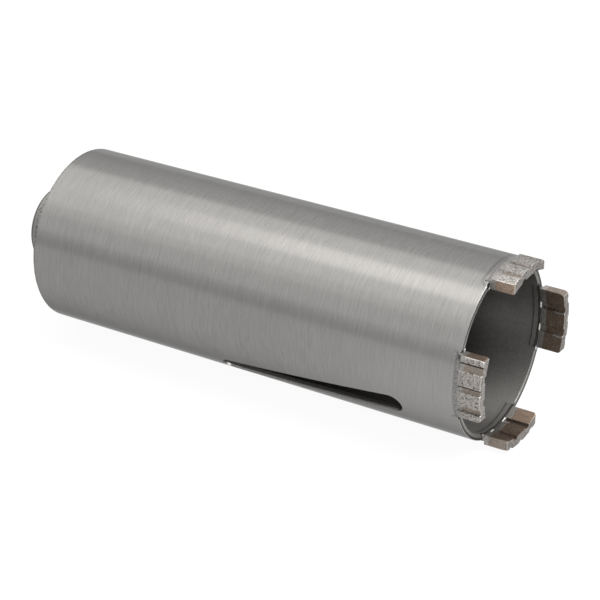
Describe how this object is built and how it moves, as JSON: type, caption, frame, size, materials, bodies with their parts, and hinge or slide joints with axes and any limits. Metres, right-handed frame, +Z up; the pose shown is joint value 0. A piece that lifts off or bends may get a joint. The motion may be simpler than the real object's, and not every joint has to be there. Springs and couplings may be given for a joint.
{
  "type": "diamond core bit",
  "caption": "Thin steel tube with helical dust slots, closed at the back by a threaded hub, with ribbed diamond segments on its rim for cutting round holes.",
  "frame": {"origin": "centre of the hub's rear face, where the bit seats on the drill's arbor", "axes": "+X along the bit's axis from the hub to the cutting end, +Z up with the bit lying on its side, +Y across"},
  "size_m": [0.1606, 0.0542, 0.0542],
  "materials": {
    "tube_steel": "turned and brushed round the tube",
    "cap_steel": "turned",
    "segment_metal": "rough, pressed and sintered metal with diamond grit"
  },
  "bodies": {
    "root": {"barrel": "tube_steel", "end_cap": "cap_steel", "segment_1": "segment_metal", "segment_2": "segment_metal", "segment_3": "segment_metal", "segment_4": "segment_metal"}
  },
  "joints": []
}
